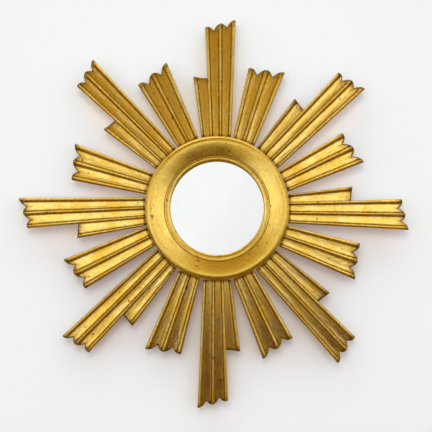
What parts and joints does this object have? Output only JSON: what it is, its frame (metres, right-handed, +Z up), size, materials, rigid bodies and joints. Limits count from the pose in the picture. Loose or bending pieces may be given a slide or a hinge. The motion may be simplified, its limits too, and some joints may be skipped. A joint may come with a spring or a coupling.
{
  "type": "sunburst mirror",
  "caption": "Round wall mirror in a turned gilt ring with carved, fluted gilt rays of two lengths round it, screwed to a plywood hub with a hinged hanging ring at the back",
  "frame": {"origin": "middle of the back cover's rear face, on the wall and on the glass's axis", "axes": "+X to the right as seen from the front, +Z up, the glass faces -Y and the wall is at +Y"},
  "size_m": [0.5998, 0.0445, 0.5968],
  "materials": {
    "gilt_wood": "carved wood with worn, burnished leaf gilding over red bole",
    "mirror_glass": "silvered float glass with a ground edge",
    "backing_card": "plain grey-brown card",
    "plywood": "unfinished plywood",
    "cover_board": "stained hardboard",
    "steel": "bright zinc-plated steel",
    "brass": "dull brass"
  },
  "bodies": {
    "mirror": {"ring_frame": "gilt_wood", "long_ray_1": "gilt_wood", "long_ray_2": "gilt_wood", "long_ray_3": "gilt_wood", "long_ray_4": "gilt_wood", "long_ray_5": "gilt_wood", "long_ray_6": "gilt_wood", "long_ray_7": "gilt_wood", "long_ray_8": "gilt_wood", "short_ray_1": "gilt_wood", "short_ray_2": "gilt_wood", "short_ray_3": "gilt_wood", "short_ray_4": "gilt_wood", "short_ray_5": "gilt_wood", "short_ray_6": "gilt_wood", "short_ray_7": "gilt_wood", "short_ray_8": "gilt_wood", "mirror_glass": "mirror_glass", "backing_card": "backing_card", "glazing_pins": "steel", "hub_board": "plywood", "clamp_screws": "steel", "ray_screws": "steel", "back_cover": "cover_board", "cover_screws": "steel", "hanger_plate": "brass", "hanger_screws": "brass"},
    "hanger": {"hanger_ring": "brass"}
  },
  "joints": [
    {"name": "hanger_swing", "type": "hinge", "parent": "mirror", "child": "hanger", "pos_m": [0, -0.00349, 0.1011], "axis": [-1, 0, 0], "range_deg": [0, 170]}
  ]
}
